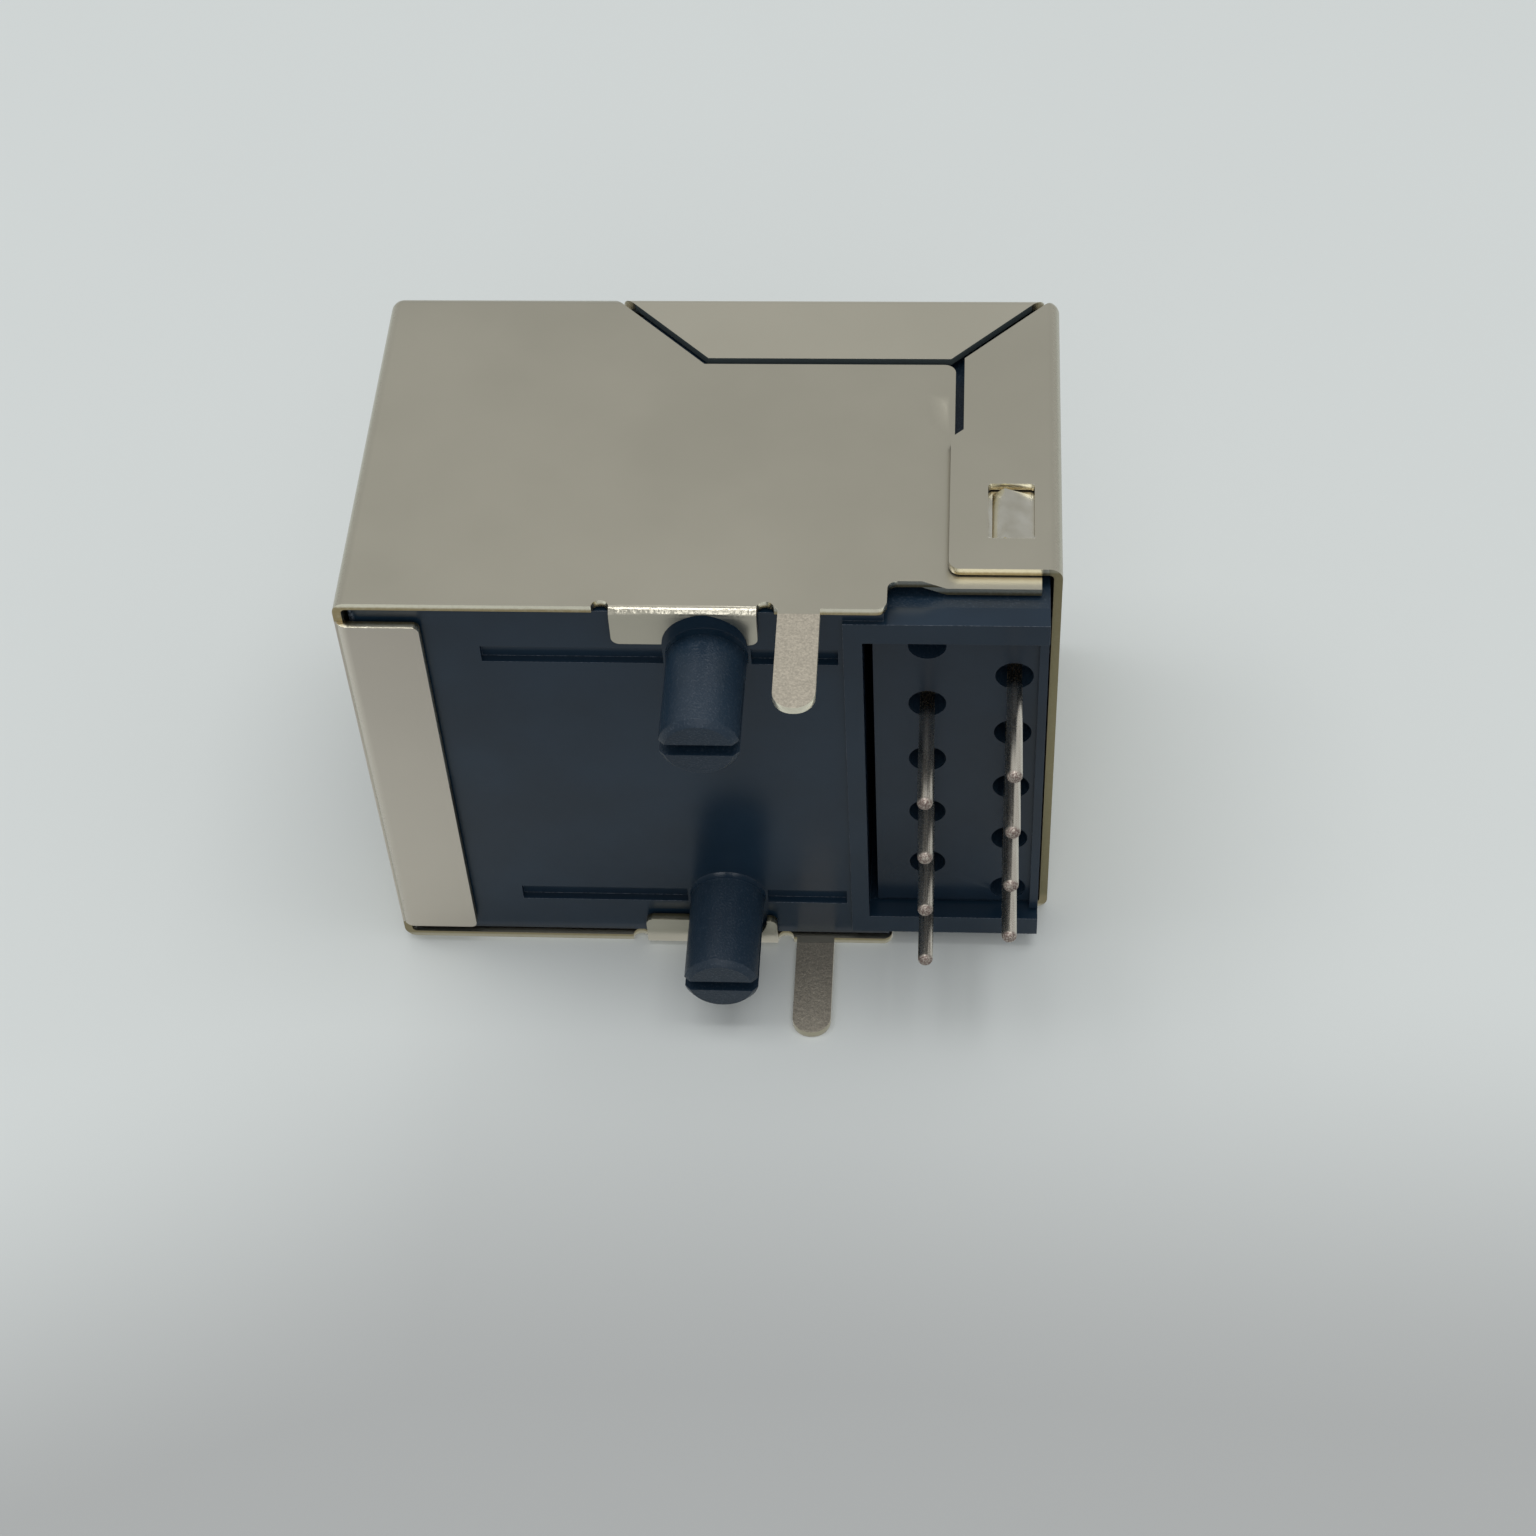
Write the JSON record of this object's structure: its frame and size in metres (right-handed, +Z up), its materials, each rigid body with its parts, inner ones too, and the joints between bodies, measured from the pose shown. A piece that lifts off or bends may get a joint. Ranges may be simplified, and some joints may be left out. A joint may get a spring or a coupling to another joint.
{
  "type": "rj45 board jack",
  "caption": "Right-angle shielded board jack for an eight-way modular plug: folded metal shield, moulded housing with split pegs, two staggered rows of solder pins.",
  "frame": {"origin": "midway between the two locating pegs, on the plane of the board's top face", "axes": "+Z up from the board, +Y the way the plug goes in, +X across the jack"},
  "size_m": [0.016, 0.0208, 0.0169],
  "materials": {
    "shield_metal": "satin nickel plate on folded brass sheet, bare brass colour on the sheared edges",
    "housing_plastic": "blue-black moulded plastic with a fine spark-eroded texture",
    "carrier_plastic": "blue-black moulded plastic, slightly smoother than the housing",
    "contact_wire": "tinned bronze wire at the pins, gold flash at the springs"
  },
  "bodies": {
    "root": {"shield": "shield_metal", "housing": "housing_plastic", "contact_carrier": "carrier_plastic", "contact_1": "contact_wire", "contact_2": "contact_wire", "contact_3": "contact_wire", "contact_4": "contact_wire", "contact_5": "contact_wire", "contact_6": "contact_wire", "contact_7": "contact_wire", "contact_8": "contact_wire"}
  },
  "joints": []
}
